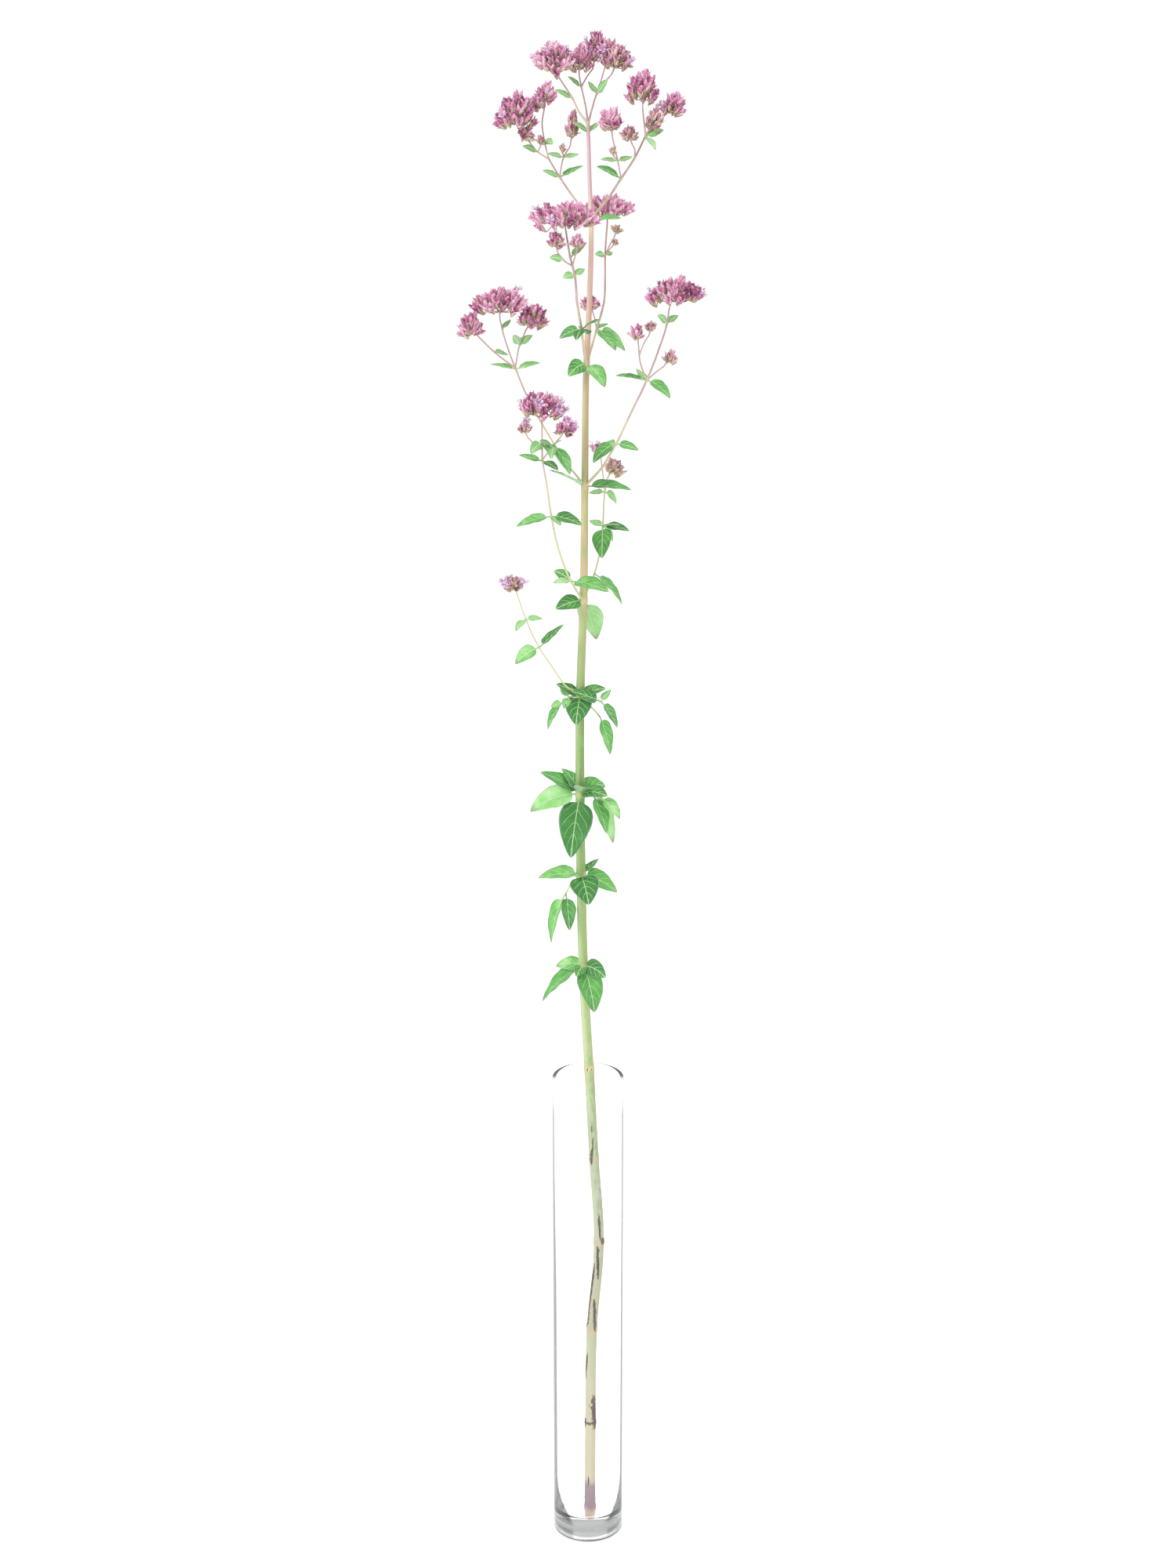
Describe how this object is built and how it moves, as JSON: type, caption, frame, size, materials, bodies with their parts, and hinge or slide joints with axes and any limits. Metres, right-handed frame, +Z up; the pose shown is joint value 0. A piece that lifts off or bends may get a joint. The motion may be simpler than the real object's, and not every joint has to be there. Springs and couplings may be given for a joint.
{
  "type": "ornamental oregano stem in a glass tube vase",
  "caption": "Tall branched stem of flowering oregano with opposite leaves and flat purple flower heads, standing in a slim clear glass tube vase.",
  "frame": {"origin": "centre of the vase's underside, on the surface it stands on", "axes": "+Z up along the stem, +X to the right and +Y away from the viewer as the picture shows it"},
  "size_m": [0.1148, 0.0845, 0.7398],
  "materials": {
    "glass": "clear pressed glass with a thick polished base",
    "stem": "smooth green herb stem, tan to pink above and cream with dark streaks inside the vase",
    "foliage": "soft matt leaves on thin pinkish stalks, with pale veins",
    "flowers": "matt magenta and purple pointed bracts with pale lilac flowers"
  },
  "bodies": {
    "root": {"head_left": "flowers", "head_left_inner": "flowers", "head_left_outer": "flowers", "head_lower_front": "flowers", "head_lower_front_right": "flowers", "head_lower_front_side": "flowers", "head_lower_left": "flowers", "head_lower_rear": "flowers", "head_lower_rear_side": "flowers", "head_middle_front": "flowers", "head_middle_front_low": "flowers", "head_middle_front_side": "flowers", "head_middle_rear": "flowers", "head_middle_rear_low": "flowers", "head_right": "flowers", "head_right_bud": "flowers", "head_right_side": "flowers", "head_right_small": "flowers", "head_top_left": "flowers", "head_top_middle": "flowers", "head_top_rear": "flowers", "head_top_right": "flowers", "head_upper_left": "flowers", "head_upper_left_inner": "flowers", "head_upper_left_narrow": "flowers", "head_upper_right": "flowers", "head_upper_right_inner": "flowers", "head_upper_right_low": "flowers", "head_upper_right_outer": "flowers", "main_stem": "stem", "spray_left": "foliage", "spray_lower_front": "foliage", "spray_lower_left": "foliage", "spray_lower_rear": "foliage", "spray_middle_front": "foliage", "spray_middle_rear": "foliage", "spray_right": "foliage", "spray_top": "foliage", "spray_upper_left": "foliage", "spray_upper_right": "foliage", "vase": "glass"}
  },
  "joints": []
}
